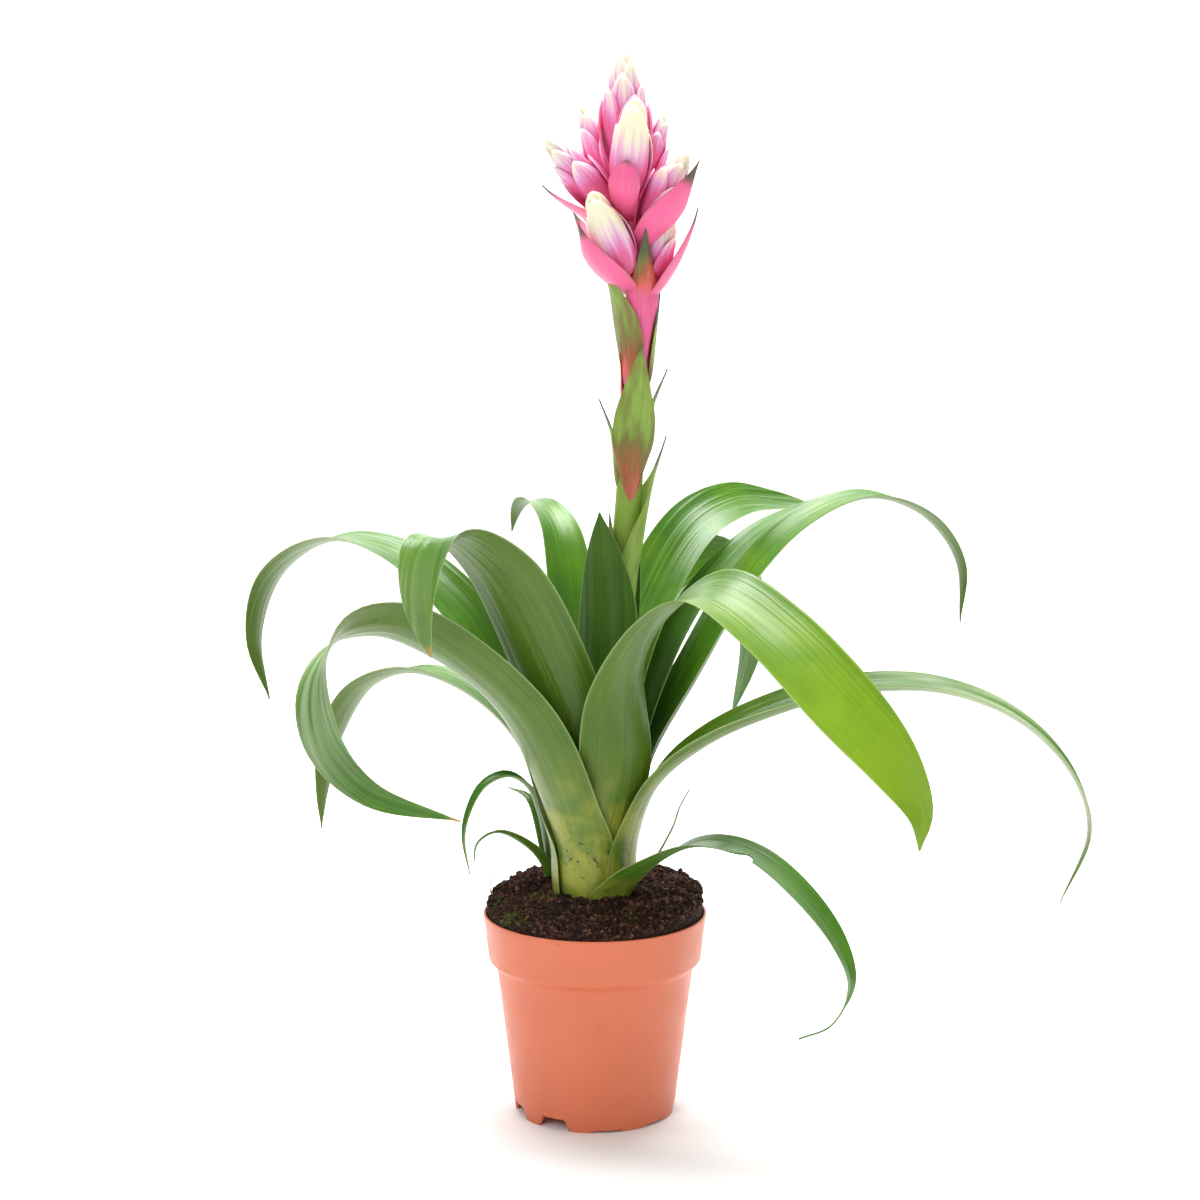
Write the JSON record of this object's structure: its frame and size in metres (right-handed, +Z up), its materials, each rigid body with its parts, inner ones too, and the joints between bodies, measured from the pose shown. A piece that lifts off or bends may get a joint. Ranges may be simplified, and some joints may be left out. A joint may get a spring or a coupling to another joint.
{
  "type": "potted candy guzmania",
  "caption": "Bromeliad with strap leaves arching from a rosette and a tall pink and cream flower head, growing in a small round nursery pot.",
  "frame": {"origin": "middle of the pot's foot, on the surface that it stands on", "axes": "+Z up along the pot, +X to the viewer's right, -Y towards the viewer"},
  "size_m": [0.4605, 0.3022, 0.566],
  "materials": {
    "pot_plastic": "terracotta-coloured moulded plastic, satin",
    "peat": "dark damp peat with bark crumbs, matt",
    "leaf": "living strap leaf, smooth with a waxy shine",
    "young_leaf": "young leaf, deep green with a waxy shine",
    "stalk": "green flower stalk and its clasping bracts, satin",
    "cream_bract": "floral bracts, pink at the foot and cream at the tip, satin",
    "pink_bract": "pink bracts with olive tips, satin"
  },
  "bodies": {
    "root": {"pot": "pot_plastic", "soil": "peat", "leaf_long_right": "leaf", "leaf_curled_left": "leaf", "leaf_broad_right": "leaf", "leaf_broad_left": "leaf", "leaf_high_left": "leaf", "leaf_low_left": "leaf", "leaf_high_right": "leaf", "leaf_rear_right": "leaf", "leaf_arched_right": "leaf", "leaf_drooping_rear": "leaf", "leaf_rear_left": "leaf", "leaf_young_front": "young_leaf", "leaf_young_rear": "young_leaf", "leaf_small_front": "leaf", "offset_shoot": "leaf", "flower_stalk": "stalk", "cone_front": "cream_bract", "cone_lower_left": "cream_bract", "cone_right": "cream_bract", "cone_left": "cream_bract", "cone_top": "cream_bract", "cone_lower_right": "cream_bract", "cone_upper_left": "cream_bract", "cone_upper_right": "cream_bract", "cone_back": "cream_bract", "cone_back_left": "cream_bract", "cone_back_right": "cream_bract", "pink_bracts": "pink_bract"}
  },
  "joints": []
}
